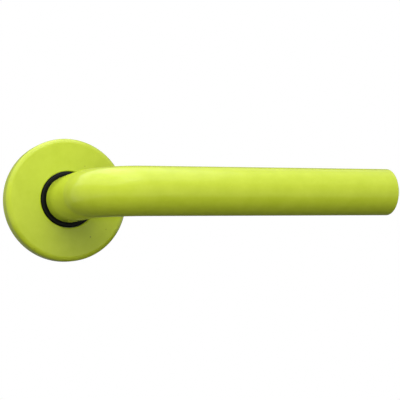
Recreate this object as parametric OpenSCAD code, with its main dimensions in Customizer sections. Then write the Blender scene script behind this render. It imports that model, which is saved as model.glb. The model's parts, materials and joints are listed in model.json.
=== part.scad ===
// Tubular lever handle on a round sprung rose, for one side of a door.
// The back of the rose lies in the plane Y = 0, the door is behind it (+Y) and the
// turning axis is the Y axis. The lever points along +X and +Z is up.
// Every sub-part is drawn in an "outward" frame: x to the right, y up and z the
// distance out from the door. The module outward() turns that into the real frame.

/* [Lever] */
// Outside diameter of the lever tube, over its paint
tube_d = 19.6; // [17:0.1:23.6]
// Wall of the lever tube, with its paint
tube_wall = 1.8; // [1.2:0.1:2.2]
// Distance from the door to the lever's axis
lever_out = 53.2; // [44:0.1:70]
// Distance from the turning axis to the lever's free end
lever_len = 127.3; // [90:0.1:160]
// Radius of the bend, measured to the tube's axis
bend_r = 18.7; // [15:0.1:22.5]
// Rounding of the neck's rim and of the cap's rim
rim_r = 0.6; // [0.2:0.1:0.9]
// Thickness of the end cap's disc
cap_t = 1.6; // [1.2:0.1:3]
// Length of the end cap's spigot inside the tube
cap_spigot = 5; // [3:0.5:12]

/* [Rose cover] */
// Diameter of the rose
rose_d = 52; // [52:1:64]
// Distance out from the door to the cover's face, at the edge of its hole
rose_out = 9; // [8.8:0.1:11]
// Sheet thickness of the cover
cover_wall = 1.2; // [0.8:0.1:1.4]
// Outside radius of the cover's rounded edge
cover_edge_r = 2.5; // [1.8:0.1:3]
// Radius of the cover's shallow dome
cover_dome_r = 205; // [150:5:400]
// Width of the black lip that shows between the neck and the cover
lip_show = 1.9; // [1.5:0.1:2.5]

/* [Neck insert] */
// Side of the square spindle
spindle_w = 8; // [7:1:9]
// Length of spindle behind the door face of the rose
spindle_back = 45; // [30:1:70]
// Diameter of the insert's bearing journal
journal_d = 15.9; // [15.3:0.1:16.5]
// Distance from the insert's end to the start of the bend
insert_short = 3.5; // [1:0.5:6]
// Thickness of metal left past the end of the spindle's socket
socket_floor = 4; // [2:0.5:6]
// Diameter of the grub screw
grub_d = 6; // [5:1:6]
// Distance from the door to the grub screw
grub_out = 16; // [14:0.5:20]

/* [Mounting plate] */
// Distance between the two through bolts
bolt_pitch = 38; // [38:0.5:39]
// Diameter of the through bolts' threaded length
bolt_d = 4; // [3:0.5:4.5]
// Depth of the through bolts' thread, which their plain shank is turned down by
bolt_thread_depth = 0.25; // [0.2:0.05:0.4]
// Diameter of the bolts' heads
bolt_head_d = 7; // [6.5:0.1:7.2]
// Height of the bolts' heads
bolt_head_h = 2.2; // [1.6:0.1:2.4]
// Length of bolt behind the door face of the rose
bolt_back = 45; // [30:1:60]
// Diameter of the locating lugs round the bolts
lug_d = 7; // [6.6:0.1:7.4]
// Length of the locating lugs behind the door face of the rose
lug_back = 8; // [5:1:20]
// Diameter of the wire ring that grips the cover
snap_wire = 1.2; // [0.8:0.1:1.3]

/* [Spring cassette] */
// Diameter of the spring wire
spring_wire = 1.5; // [1.2:0.1:1.5]
// Turns of the return spring
spring_turns = 1.75; // [0.75:1:1.75]
// Depth of the spring pocket, out from the door
pocket_out = 5.5; // [5.5:0.1:5.8]
// Sheet thickness of the cassette plate
cassette_t = 0.8; // [0.6:0.1:0.8]
// Thickness of the spring driver
driver_t = 1.25; // [1:0.05:1.3]
// Diameter of the stop pins
stop_d = 2.2; // [1.8:0.1:2.2]
// Turn of the lever between its two stops, in degrees
lever_travel = 45; // [30:1:60]

/* [Clearances] */
// Radial gap of a turning fit
run_gap = 0.05; // [0.03:0.01:0.08]
// Radial gap of a pressed or bonded fit
press_gap = 0.02; // [0.01:0.01:0.03]
// Gap between faces that turn or slide past each other
face_gap = 0.1; // [0.05:0.05:0.15]
// Gap between the neck's rim and the bush's lip
neck_gap = 0.3; // [0.2:0.05:0.4]
// Gap between the cover's sheet and what it covers
cover_gap = 0.4; // [0.3:0.05:0.4]
// Radial gap between the bush's lip and the cover's hole
lip_gap = 0.2; // [0.15:0.05:0.3]
// Radial gap round the bolts and their heads
bolt_gap = 0.2; // [0.1:0.05:0.25]

/* [Hidden] */

$fn = 96;
fine = 360;          // facets of the large dome circle
over = 1;            // how far a cut runs past the face that it opens

paint = [0.76, 0.82, 0.20];
zinc = [0.62, 0.63, 0.65];
steel = [0.72, 0.73, 0.75];
spring_steel = [0.40, 0.40, 0.42];
black_nylon = [0.05, 0.05, 0.05];

// Lever tube
tube_r = tube_d / 2;
bore_r = tube_r - tube_wall;
cap_x = lever_len - cap_t;
insert_out = lever_out - bend_r - insert_short;
socket_out = insert_out - socket_floor;
grub_gap = 0.3;
grub_sink = 0.6;

// Rose cover: the edge's arc and the dome's arc touch where their normals agree
rose_r = rose_d / 2;
cover_hole_r = tube_r + lip_show + lip_gap;
dome_top = rose_out + cover_dome_r - sqrt(pow(cover_dome_r, 2) - pow(cover_hole_r, 2));
dome_centre = dome_top - cover_dome_r;
edge_x = rose_r - cover_edge_r;
edge_z = dome_centre + sqrt(pow(cover_dome_r - cover_edge_r, 2) - pow(edge_x, 2));

// Depths of the mounting plate, out from the door
cassette_sink = 0.2;
recess_z = cassette_t + cassette_sink;
under_cover = cover_wall + cover_gap + face_gap;
boss_z = rose_out - under_cover;
plate_r = rose_r - cover_wall - cover_gap;
plate_bevel = cover_edge_r - cover_wall;
rim_z = dome_centre + sqrt(pow(cover_dome_r, 2) - pow(plate_r - plate_bevel, 2)) - under_cover;
lip_sink = 0.15;
lip_z = rose_out - lip_sink;
neck_z = lip_z + neck_gap;
lug_x = bolt_pitch / 2;
lug_seat_z = 2;
lug_pad_r = lug_d / 2 + 0.7;
head_z = rim_z - bolt_head_h;
snap_z = (recess_z + rim_z) / 2;

// Stack behind the web, from the insert's rear shoulder outwards
journal_r = journal_d / 2;
bush_r = journal_r + 1.6;
pilot_z = 0.25;
shoulder_z = recess_z + 0.4;
groove_depth = 0.65;
groove_z = shoulder_z + 0.2;
circlip_t = 1;
washer_t = 0.5;
washer_z = groove_z + circlip_t + face_gap;
driver_z = pocket_out - face_gap - driver_t;
cup_z = washer_z + washer_t + run_gap;
cup_h = driver_z - cup_z - run_gap;
cup_t = 0.35;
flat_x = journal_r - 0.9;
socket_w = spindle_w + 2 * run_gap;
pilot_r = socket_w / sqrt(2) + 0.8;
rear_sleeve_r = pilot_r + run_gap + 0.7;

// Spring driver: a lobe that meets the stop pins and a forked lobe that turns the spring
hub_r = journal_r + 1.4;
stop_r = hub_r + 0.4 + stop_d / 2;
lobe_r = stop_r + stop_d / 2 - 0.2;
lobe_half = 18;
lobe_at = 90;
stop_half = asin((stop_d / 2 + face_gap) / stop_r);
rest_stop_at = lobe_at + lobe_half + stop_half;
full_stop_at = lobe_at - lobe_half - lever_travel - stop_half;
stop_z = 2.6;
stop_end_z = boss_z - 0.6;
fork_half = 14;

// Return spring: one leg in the fork, one leg in the plate's wall
coil_r = lobe_r + 0.6 + spring_wire / 2;
pocket_r = coil_r + spring_wire / 2 + 0.4;
leg_bend = spring_wire;
coil_top_z = pocket_out - face_gap - spring_wire / 2;
coil_pitch = (coil_top_z - recess_z - face_gap - spring_wire / 2) / spring_turns;
coil_start = 261;
inner_turn = asin(leg_bend / (coil_r - leg_bend));
outer_turn = asin(leg_bend / (coil_r + leg_bend));
fork_at = coil_start - inner_turn;
coil_end = coil_start + spring_turns * 360;
anchor_at = coil_end + outer_turn;
anchor_r = pocket_r + 1.4;
fork_leg_r = hub_r + 0.5;

// Cassette plate and its screws
cassette_r = lug_x + lug_d / 2 - 1.7;
screw_r = 1.25;
screw_head_r = 2.2;
screw_circle_r = 17.6;
screw_end_z = 4.6;
screw_angles = [30, 150, 210, 330];

module outward() {
    rotate([90, 0, 0]) children();
}

// A ring or disc on the turning axis, from z0 out to z1
module tube_on_axis(r_out, r_in, z0, z1) {
    difference() {
        translate([0, 0, z0]) cylinder(r = r_out, h = z1 - z0);
        translate([0, 0, z0 - over]) cylinder(r = r_in, h = z1 - z0 + 2 * over);
    }
}

// Neck, quarter bend and bar, as a solid rod of radius r
module bent_rod(r, z0, x1) {
    translate([0, 0, z0]) cylinder(r = r, h = lever_out - bend_r - z0);
    translate([bend_r, 0, lever_out - bend_r])
        rotate([90, 0, 0]) rotate([0, 0, 90])
            rotate_extrude(angle = 90) translate([bend_r, 0]) circle(r = r);
    translate([bend_r, 0, lever_out]) rotate([0, 90, 0]) cylinder(r = r, h = x1 - bend_r);
}

// Cuts the outer corner of a rim at radius r, from the plane z = 0 upwards
module rim_round(r) {
    rotate_extrude() difference() {
        translate([r - rim_r, -over]) square([rim_r + over, rim_r + over]);
        translate([r - rim_r, rim_r]) circle(r = rim_r);
        translate([0, -over]) square([r - rim_r, 2 * over]);
    }
}

module lever_tube() {
    color(paint) outward() difference() {
        bent_rod(tube_r, neck_z, cap_x);
        bent_rod(bore_r, neck_z - over, cap_x + over);
        translate([0, 0, neck_z]) rim_round(tube_r);
        grub_line(grub_d / 2 + grub_gap, bore_r - over, tube_r + over);
    }
}

module lever_end_cap() {
    color(paint) outward() translate([lever_len, 0, lever_out]) rotate([0, -90, 0]) {
        difference() {
            cylinder(r = tube_r, h = cap_t);
            rim_round(tube_r);
        }
        translate([0, 0, cap_t]) difference() {
            cylinder(r = bore_r - press_gap, h = cap_spigot);
            cylinder(r = bore_r - tube_wall, h = cap_spigot + over);
        }
    }
}

// A cylinder along the grub screw's line, from radius r0 to radius r1 below the axis
module grub_line(r, r0, r1) {
    translate([0, -r0, grub_out]) rotate([90, 0, 0]) cylinder(r = r, h = r1 - r0);
}

module neck_insert() {
    color(steel) outward() difference() {
        union() {
            translate([0, 0, pilot_z]) cylinder(r = pilot_r, h = shoulder_z - pilot_z);
            translate([0, 0, shoulder_z]) cylinder(r = journal_r, h = neck_z - shoulder_z);
            translate([0, 0, neck_z]) cylinder(r = bore_r - press_gap, h = insert_out - neck_z);
        }
        translate([-socket_w / 2, -socket_w / 2, pilot_z - over])
            cube([socket_w, socket_w, socket_out - pilot_z + over]);
        tube_on_axis(journal_r + over, journal_r - groove_depth, groove_z, groove_z + circlip_t + 0.1);
        for (side = [0, 180]) rotate([0, 0, side])
            translate([flat_x, -journal_r, shoulder_z - over])
                cube([journal_r, journal_d, pocket_out - face_gap - shoulder_z + over]);
        grub_line(grub_d / 2, socket_w / 2 - over, tube_r);
    }
}

module grub_screw() {
    point_r = spindle_w / 2 + run_gap;
    back_r = tube_r - grub_sink;
    color(spring_steel) outward() difference() {
        grub_line(grub_d / 2 - press_gap, point_r, back_r);
        translate([0, -back_r + grub_d / 3, grub_out]) rotate([90, 0, 0])
            cylinder(r = grub_d / 3.5, h = grub_d / 3 + over, $fn = 6);
    }
}

// Outline of the spindle along its length, with both ends bevelled
module spindle_side() {
    half = spindle_w / 2;
    bevel = 0.8;
    front = socket_out - 0.5;
    polygon([
        [-half, -spindle_back + bevel], [-half + bevel, -spindle_back],
        [half - bevel, -spindle_back], [half, -spindle_back + bevel],
        [half, front - bevel], [half - bevel, front],
        [-half + bevel, front], [-half, front - bevel]
    ]);
}

module spindle() {
    color(steel) outward() intersection() {
        translate([0, spindle_w, 0]) rotate([90, 0, 0]) linear_extrude(2 * spindle_w) spindle_side();
        translate([-spindle_w, 0, 0]) rotate([90, 0, 90]) linear_extrude(2 * spindle_w) spindle_side();
    }
}

// A sector of a ring, centred on the angle at, in two dimensions
module sector(r, at, half) {
    reach = 2 * r;
    intersection() {
        circle(r = r);
        polygon([
            [0, 0],
            [reach * cos(at - half), reach * sin(at - half)],
            [reach * cos(at), reach * sin(at)],
            [reach * cos(at + half), reach * sin(at + half)]
        ]);
    }
}

module spring_driver() {
    slot_half = spring_wire / 2 + face_gap;
    color(steel) outward() translate([0, 0, driver_z]) linear_extrude(driver_t) difference() {
        union() {
            circle(r = hub_r);
            sector(lobe_r, lobe_at, lobe_half);
            sector(lobe_r, fork_at, fork_half);
        }
        intersection() {
            circle(r = journal_r + run_gap);
            square([2 * (flat_x + run_gap), 3 * journal_r], center = true);
        }
        rotate([0, 0, fork_at]) translate([hub_r + 0.3, -slot_half]) square([lobe_r, 2 * slot_half]);
    }
}

module spring_washer() {
    inner = journal_r + run_gap;
    outer = hub_r;
    color(spring_steel) outward() translate([0, 0, cup_z]) rotate_extrude()
        polygon([[inner, 0], [outer, cup_h - cup_t], [outer, cup_h], [inner, cup_t]]);
}

module thrust_washer() {
    color(steel) outward()
        tube_on_axis(hub_r, journal_r + run_gap, washer_z, washer_z + washer_t);
}

module circlip() {
    inner = journal_r - groove_depth + run_gap;
    band = 1.5;
    open_half = 24;
    ear_r = 1.3;
    hole_r = 0.6;
    color(spring_steel) outward() translate([0, 0, groove_z + run_gap]) linear_extrude(circlip_t) {
        difference() {
            union() {
                circle(r = inner + band);
                for (side = [-1, 1]) rotate([0, 0, 270 + side * (open_half + 7)])
                    translate([inner + ear_r, 0]) circle(r = ear_r);
            }
            circle(r = inner);
            sector(2 * inner, 270, open_half);
            for (side = [-1, 1]) rotate([0, 0, 270 + side * (open_half + 7)])
                translate([inner + ear_r, 0]) circle(r = hole_r);
        }
    }
}

// The cover's section, set inwards from its outside by inset
module rose_section(inset) {
    touch_x = edge_x * (cover_dome_r - inset) / (cover_dome_r - cover_edge_r);
    square([rose_r - inset, edge_z]);
    intersection() {
        translate([0, dome_centre]) circle(r = cover_dome_r - inset, $fn = fine);
        square([touch_x, dome_top]);
    }
    translate([edge_x, edge_z]) circle(r = cover_edge_r - inset);
}

module rose_cover() {
    color(paint) outward() rotate_extrude() difference() {
        rose_section(0);
        rose_section(cover_wall);
        translate([0, -over]) square([rose_r - cover_wall, 2 * over]);
        translate([0, -over]) square([cover_hole_r, rose_out + 2 * over]);
    }
}

// Places its children at both bolts, above and below the turning axis
module at_bolts() {
    for (side = [-1, 1]) translate([0, side * lug_x, 0]) children();
}

module at_screws() {
    for (a = screw_angles) rotate([0, 0, a]) translate([screw_circle_r, 0, 0]) children();
}

module at_stops() {
    for (a = [rest_stop_at, full_stop_at]) rotate([0, 0, a]) translate([stop_r, 0, 0]) children();
}

module mounting_plate() {
    groove_half = snap_wire / 2 + face_gap;
    groove_floor = plate_r - snap_wire * 0.8;
    boss_r = cover_hole_r + 1.9;
    color(zinc) outward() difference() {
        rotate_extrude() polygon([
            [0, 0], [plate_r, 0], [plate_r, snap_z - groove_half],
            [groove_floor, snap_z - groove_half], [groove_floor, snap_z + groove_half],
            [plate_r, snap_z + groove_half], [plate_r, rim_z - plate_bevel],
            [plate_r - plate_bevel, rim_z], [boss_r, rim_z], [boss_r, boss_z], [0, boss_z]
        ]);
        // Recess for the cassette plate, with a pad left round each lug
        translate([0, 0, -over]) linear_extrude(recess_z + over) difference() {
            circle(r = cassette_r + face_gap * 2);
            at_bolts() circle(r = lug_pad_r);
        }
        translate([0, 0, -over]) cylinder(r = pocket_r, h = pocket_out + over);
        translate([0, 0, -over]) cylinder(r = bush_r, h = boss_z + 2 * over);
        // Slot that holds the spring's fixed leg
        rotate([0, 0, anchor_at]) translate([pocket_r - over, -spring_wire / 2 - face_gap, -over])
            cube([anchor_r - pocket_r + over + face_gap, spring_wire + 2 * face_gap,
                  recess_z + spring_wire + 3 * face_gap + over]);
        at_stops() translate([0, 0, pocket_out - over])
            cylinder(r = stop_d / 2 + press_gap, h = stop_end_z + face_gap - pocket_out + over);
        at_bolts() {
            translate([0, 0, -over]) cylinder(r = lug_d / 2 + press_gap, h = lug_seat_z + over);
            cylinder(r = bolt_d / 2 + bolt_gap, h = boss_z);
            translate([0, 0, head_z]) cylinder(r = bolt_head_d / 2 + bolt_gap, h = boss_z);
        }
        at_screws() cylinder(r = screw_r + press_gap, h = screw_end_z + face_gap);
    }
}

module locating_lugs() {
    color(steel) outward() at_bolts() difference() {
        translate([0, 0, -lug_back]) cylinder(r = lug_d / 2, h = lug_back + lug_seat_z);
        translate([0, 0, -lug_back - over])
            cylinder(r = bolt_d / 2 + bolt_gap, h = lug_back + lug_seat_z + 2 * over);
    }
}

module bearing_bush() {
    lip_r = cover_hole_r - lip_gap;
    round_r = 0.5;
    inner = journal_r + run_gap;
    color(black_nylon) outward() rotate_extrude() {
        translate([inner, pocket_out]) square([bush_r - press_gap - inner, boss_z - pocket_out]);
        translate([inner, boss_z]) square([lip_r - inner, lip_z - round_r - boss_z]);
        translate([inner, boss_z]) square([lip_r - round_r - inner, lip_z - boss_z]);
        translate([lip_r - round_r, lip_z - round_r]) circle(r = round_r);
    }
}

module rear_bush() {
    inner = pilot_r + run_gap;
    flange_w = 0.8;
    flange_t = 0.3;
    color(black_nylon) outward() {
        tube_on_axis(rear_sleeve_r, inner, pilot_z, recess_z);
        tube_on_axis(rear_sleeve_r + flange_w, inner, recess_z, recess_z + flange_t);
    }
}

module stop_pins() {
    color(steel) outward() at_stops() translate([0, 0, stop_z])
        cylinder(r = stop_d / 2, h = stop_end_z - stop_z);
}

function on_circle(r, a, z) = [r * cos(a), r * sin(a), z];

// Points of the spring's inner leg, its bend, its coils, its outer bend and its outer leg
function spring_route() =
    let (
        low_z = coil_top_z - spring_turns * coil_pitch,
        coil_steps = ceil(spring_turns * 24),
        bend_steps = 4,
        in_centre = on_circle(coil_r - leg_bend, coil_start, coil_top_z),
        out_centre = on_circle(coil_r + leg_bend, coil_end, low_z)
    )
    concat(
        [on_circle(fork_leg_r, fork_at, coil_top_z)],
        [for (i = [0 : bend_steps - 1])
            in_centre + on_circle(leg_bend,
                fork_at - 90 + (coil_start - fork_at + 90) * i / bend_steps, 0)],
        [for (i = [0 : coil_steps])
            on_circle(coil_r, coil_start + (coil_end - coil_start) * i / coil_steps,
                coil_top_z - spring_turns * coil_pitch * i / coil_steps)],
        [for (i = [1 : bend_steps])
            out_centre + on_circle(leg_bend,
                coil_end + 180 + (anchor_at - coil_end - 90) * i / bend_steps, 0)],
        [on_circle(anchor_r, anchor_at, low_z)]
    );

// A round wire of diameter wire swept along a route that stays nearly level
module level_wire(route, wire) {
    sides = 10;
    last = len(route) - 1;
    points = [for (i = [0 : last])
        let (
            along = route[min(i + 1, last)] - route[max(i - 1, 0)],
            flat = [along[0], along[1], 0] / norm([along[0], along[1]]),
            side = [-flat[1], flat[0], 0]
        )
        for (k = [0 : sides - 1])
            route[i] + wire / 2 * (cos(k * 360 / sides) * side + [0, 0, sin(k * 360 / sides)])
    ];
    walls = [for (i = [0 : last - 1]) for (k = [0 : sides - 1])
        let (next = (k + 1) % sides)
        [i * sides + k, i * sides + next, (i + 1) * sides + next, (i + 1) * sides + k]
    ];
    start_face = [for (k = [sides - 1 : -1 : 0]) k];
    end_face = [for (k = [0 : sides - 1]) last * sides + k];
    polyhedron(points, concat([start_face], walls, [end_face]));
}

module return_spring() {
    color(spring_steel) outward() level_wire(spring_route(), spring_wire);
}

module cassette_plate() {
    hole_r = rear_sleeve_r + press_gap;
    color(steel) outward() difference() {
        translate([0, 0, recess_z - cassette_t]) linear_extrude(cassette_t) difference() {
            circle(r = cassette_r);
            circle(r = hole_r);
            at_bolts() circle(r = lug_pad_r + face_gap * 2);
        }
        at_screws() translate([0, 0, recess_z - cassette_t - face_gap])
            cylinder(r1 = screw_head_r + face_gap * 2, r2 = screw_r + face_gap, h = cassette_t + 2 * face_gap);
    }
}

module cassette_screws() {
    head_z0 = recess_z - cassette_t;
    color(steel) outward() at_screws() difference() {
        union() {
            translate([0, 0, head_z0]) cylinder(r1 = screw_head_r, r2 = screw_r, h = cassette_t);
            translate([0, 0, recess_z]) cylinder(r = screw_r, h = screw_end_z - recess_z);
        }
        translate([0, 0, head_z0 - over]) cylinder(r = screw_r * 0.7, h = cassette_t * 0.75 + over, $fn = 6);
    }
}

module through_bolts() {
    key_r = bolt_head_d * 0.24;
    bevel = 0.5;
    thread_start = lug_back + bolt_d / 4;
    color(steel) outward() at_bolts() difference() {
        union() {
            translate([0, 0, head_z]) cylinder(r = bolt_head_d / 2, h = bolt_head_h);
            translate([0, 0, -thread_start - over])
                cylinder(r = bolt_d / 2 - bolt_thread_depth, h = head_z + thread_start + over + bolt_head_h / 4);
            translate([0, 0, -bolt_back + bevel])
                cylinder(r = bolt_d / 2, h = bolt_back - bevel - thread_start);
            translate([0, 0, -bolt_back]) cylinder(r1 = bolt_d / 2 - bevel, r2 = bolt_d / 2, h = bevel);
        }
        translate([0, 0, rim_z - bolt_head_h * 0.6]) cylinder(r = key_r, h = bolt_head_h, $fn = 6);
    }
}

module cover_snap_ring() {
    split = 14;
    ring_r = rose_r - cover_wall - run_gap - snap_wire / 2;
    color(spring_steel) outward() translate([0, 0, snap_z])
        rotate([0, 0, split / 2]) rotate_extrude(angle = 360 - split)
            translate([ring_r, 0]) circle(r = snap_wire / 2);
}

lever_tube();
lever_end_cap();
neck_insert();
grub_screw();
spindle();
spring_driver();
spring_washer();
thrust_washer();
circlip();
mounting_plate();
locating_lugs();
bearing_bush();
rear_bush();
stop_pins();
return_spring();
cassette_plate();
cassette_screws();
through_bolts();
cover_snap_ring();
rose_cover();
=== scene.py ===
# %% [markdown]
# # A lever door handle on a round rose
#
# The handle is a bent steel tube with a gloss yellow-green powder coat. It comes out
# of a round rose, turns through a right angle and ends in a flat cap. A black nylon
# bush fills the gap between the neck and the rose cover. Behind the cover sit a
# die-cast plate, the bolts that go through the door and a square spindle.
#
# The imported construction gives every piece its place. This script gives the pieces
# that show a finer mesh, makes a finish for all of them, and sets up the light and
# the camera. It loads the construction first, and reads sizes from its boxes.

# %% Load the construction
import json
import math

import bpy
from mathutils import Matrix, Vector

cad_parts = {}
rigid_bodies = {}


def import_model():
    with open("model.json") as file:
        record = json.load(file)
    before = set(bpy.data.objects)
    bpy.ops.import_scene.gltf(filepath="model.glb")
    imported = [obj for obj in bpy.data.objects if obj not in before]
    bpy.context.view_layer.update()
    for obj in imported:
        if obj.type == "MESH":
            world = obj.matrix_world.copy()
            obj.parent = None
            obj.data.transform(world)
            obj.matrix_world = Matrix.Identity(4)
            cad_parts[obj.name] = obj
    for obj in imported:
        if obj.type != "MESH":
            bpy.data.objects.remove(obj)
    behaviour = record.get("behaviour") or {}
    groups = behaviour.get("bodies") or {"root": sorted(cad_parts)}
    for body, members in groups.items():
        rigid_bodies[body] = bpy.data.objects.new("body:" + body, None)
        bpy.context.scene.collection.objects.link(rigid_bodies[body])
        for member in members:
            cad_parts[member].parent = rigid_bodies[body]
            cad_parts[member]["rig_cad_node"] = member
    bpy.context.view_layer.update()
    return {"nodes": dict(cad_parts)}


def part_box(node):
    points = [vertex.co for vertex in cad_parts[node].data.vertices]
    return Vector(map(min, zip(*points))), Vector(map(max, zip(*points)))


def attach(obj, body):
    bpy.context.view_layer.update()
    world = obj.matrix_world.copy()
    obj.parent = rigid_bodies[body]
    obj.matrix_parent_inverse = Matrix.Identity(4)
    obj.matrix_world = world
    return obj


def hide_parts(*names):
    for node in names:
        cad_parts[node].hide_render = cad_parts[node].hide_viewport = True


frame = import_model()
nodes = frame["nodes"]
MM = 0.001

# %% [markdown]
# ## Camera
#
# The camera looks at the handle from the left and from a little below, at about the
# distance of an outstretched arm. A heading, a pitch and a slight roll turn it. The
# lens is a short telephoto one, and it needs no shift.

# %% Camera
camera_place = Vector((-117.6, -453.6, -33.7)) * MM
camera_heading = math.radians(21.69)
camera_pitch = math.radians(4.01)
camera_roll = math.radians(-1.47)

camera_data = bpy.data.cameras.new("camera")
camera_data.lens = 98.2
camera_data.sensor_width = 36
camera = bpy.data.objects.new("camera", camera_data)
bpy.context.scene.collection.objects.link(camera)
camera_turn = (
    Matrix.Rotation(-camera_heading, 4, "Z")
    @ Matrix.Rotation(math.pi / 2 + camera_pitch, 4, "X")
    @ Matrix.Rotation(camera_roll, 4, "Z")
)
camera.matrix_world = Matrix.Translation(camera_place) @ camera_turn
bpy.context.scene.camera = camera
print("the camera looks along", [round(-v, 3) for v in camera.matrix_world.col[2].xyz])

# %% [markdown]
# ## Sizes
#
# Everything is drawn from two numbers: the distance from the turning axis, and the
# distance out from the door. In the scene, out is the direction of -Y, the lever
# runs along +X, and up is +Z. All sizes below are in millimetres. Those that the
# construction's boxes can give are read from them, and the rest are the drawing's.

# %% Sizes
def out_from(node):
    """The nearest and farthest distance of a node from the door, in millimetres."""
    low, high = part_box(node)
    return -high[1] / MM, -low[1] / MM


def radius_of(node):
    """Half the height of a node, in millimetres."""
    low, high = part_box(node)
    return (high[2] - low[2]) / 2 / MM


tube_r = radius_of("lever_tube")
bore_r = 8.0
neck_out = out_from("lever_tube")[0]
bar_out = out_from("lever_tube")[1] - tube_r
bend_r = 18.7
lever_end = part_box("lever_tube")[1][0] / MM
cap_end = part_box("lever_end_cap")[1][0] / MM
rose_r = radius_of("rose_cover")
bush_top = out_from("bearing_bush")[1]
print("tube radius", round(tube_r, 2), "neck starts", round(neck_out, 2))
print("bar axis", round(bar_out, 2), "lever ends", round(lever_end, 2))
print("cap ends", round(cap_end, 2), "rose radius", round(rose_r, 2))

# %% [markdown]
# ## Modelling by rings
#
# Nearly every piece of a handle is turned on a lathe, drawn from tube or pressed from
# sheet, so it is a stack of rings. By hand you would add a circle, extrude its edge
# and scale the new edge, again and again. The functions here do the same with the
# same operators. One starts a ring, one extrudes it to the next radius, and one
# closes the shape, merges doubles and turns the normals outwards.
#
# Spin could make the same shapes from a drawn section. Rings were chosen because the
# same steps also carry the tube round its bend.

# %% Ring tools
MERGE_DISTANCE = 0.002 * MM
SMOOTH_ANGLE = math.radians(35)


def clear_selection():
    """Nothing is selected, so that an operator acts only on what is picked next."""
    bpy.ops.object.select_all(action="DESELECT")


def start_ring(name, radius, out, sides, up=0.0, across=0.0):
    """Adds a circle that faces the door, applies its place and opens it for editing."""
    clear_selection()
    bpy.ops.mesh.primitive_circle_add(
        vertices=sides,
        radius=radius * MM,
        location=(across * MM, -out * MM, up * MM),
        rotation=(math.pi / 2, 0, 0),
    )
    piece = bpy.context.object
    piece.name = name
    piece.data.name = name
    bpy.ops.object.transform_apply(location=True, rotation=True, scale=True)
    bpy.ops.object.mode_set(mode="EDIT")
    bpy.ops.mesh.select_mode(type="VERT")
    bpy.ops.mesh.select_all(action="SELECT")
    return piece


def extrude_ring(step, grow, centre):
    """Extrudes the selected edge by step and scales it about centre, all in metres."""
    bpy.ops.mesh.extrude_edges_move(TRANSFORM_OT_translate={"value": step})
    if grow != (1, 1, 1):
        bpy.ops.transform.resize(value=grow, center_override=centre)


def close_pole():
    """Fills the selected edge with a fan of faces that meet in the middle."""
    bpy.ops.mesh.extrude_edges_move(TRANSFORM_OT_translate={"value": (0, 0, 0)})
    bpy.ops.mesh.merge(type="CENTER")


def close_shape(piece):
    """Merges doubles, turns the normals outwards, and shades the curved faces smooth."""
    bpy.ops.mesh.select_all(action="SELECT")
    bpy.ops.mesh.remove_doubles(threshold=MERGE_DISTANCE)
    bpy.ops.mesh.select_all(action="SELECT")
    bpy.ops.mesh.normals_make_consistent(inside=False)
    bpy.ops.object.mode_set(mode="OBJECT")
    shade(piece)
    return piece


def shade(piece):
    """Smooth shading that keeps the edges sharper than the set angle."""
    clear_selection()
    piece.select_set(True)
    bpy.context.view_layer.objects.active = piece
    bpy.ops.object.shade_smooth_by_angle(angle=SMOOTH_ANGLE)


def extrude_section(section, up=0.0, across=0.0):
    """Extrudes the selected ring through the (radius, out) points of a section."""
    radius, out = section[0]
    for next_radius, next_out in section[1:]:
        grow = next_radius / radius
        centre = (across * MM, -next_out * MM, up * MM)
        extrude_ring((0, (out - next_out) * MM, 0), (grow, 1, grow), centre)
        radius, out = next_radius, next_out


def turned(name, section, sides=96, up=0.0, across=0.0):
    """Turns a section of (radius, out) points. One that ends where it starts closes on
    itself, and any other is filled at both ends."""
    piece = start_ring(name, section[0][0], section[0][1], sides, up, across)
    extrude_section(section, up, across)
    if section[0] != section[-1]:
        close_pole()
        bpy.ops.mesh.select_all(action="DESELECT")
        bpy.ops.mesh.select_non_manifold()
        close_pole()
    return close_shape(piece)


def arc(centre, radius, start, end, steps):
    """Points of an arc in a section, from the angle start to the angle end in degrees.
    An angle of 0 points away from the axis, and 90 points out from the door."""
    angles = [math.radians(start + (end - start) * i / steps) for i in range(steps + 1)]
    return [(centre[0] + radius * math.cos(a), centre[1] + radius * math.sin(a)) for a in angles]


print("ring tools ready")

# %% [markdown]
# ## Cutting, copying and rounding
#
# Holes are cut as on the real piece, by a cutter that goes through it: a Boolean
# modifier takes the cutter away, is applied, and the cutter is deleted. A cut can leave
# corners almost on top of each other, so they are welded. A Bevel modifier then breaks
# the sharp edges, because a real edge is never quite sharp and the thin line of light
# along it is much of what makes metal look like metal.

# %% Cutting and rounding tools
def apply_modifier(piece, modifier):
    """Makes a modifier's result the piece's own mesh."""
    clear_selection()
    piece.select_set(True)
    bpy.context.view_layer.objects.active = piece
    bpy.ops.object.modifier_apply(modifier=modifier.name)


# Corners closer together than this, in millimetres, are one corner.
WELD = 0.0005


def cut(piece, cutter):
    """Cuts a cutter out of a piece, deletes the cutter and welds the seam."""
    modifier = piece.modifiers.new("cut", "BOOLEAN")
    modifier.operation = "DIFFERENCE"
    modifier.solver = "EXACT"
    modifier.object = cutter
    apply_modifier(piece, modifier)
    bpy.data.objects.remove(cutter)
    bpy.ops.object.mode_set(mode="EDIT")
    bpy.ops.mesh.select_all(action="SELECT")
    bpy.ops.mesh.remove_doubles(threshold=WELD * MM)
    bpy.ops.mesh.dissolve_degenerate(threshold=WELD * MM)
    bpy.ops.object.mode_set(mode="OBJECT")


def round_edges(piece, width, segments=2, angle=30):
    """Rounds the sharp edges of a piece by width, in millimetres."""
    modifier = piece.modifiers.new("round", "BEVEL")
    modifier.width = width * MM
    modifier.segments = segments
    modifier.limit_method = "ANGLE"
    modifier.angle_limit = math.radians(angle)
    modifier.use_clamp_overlap = True
    apply_modifier(piece, modifier)
    shade(piece)


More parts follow.
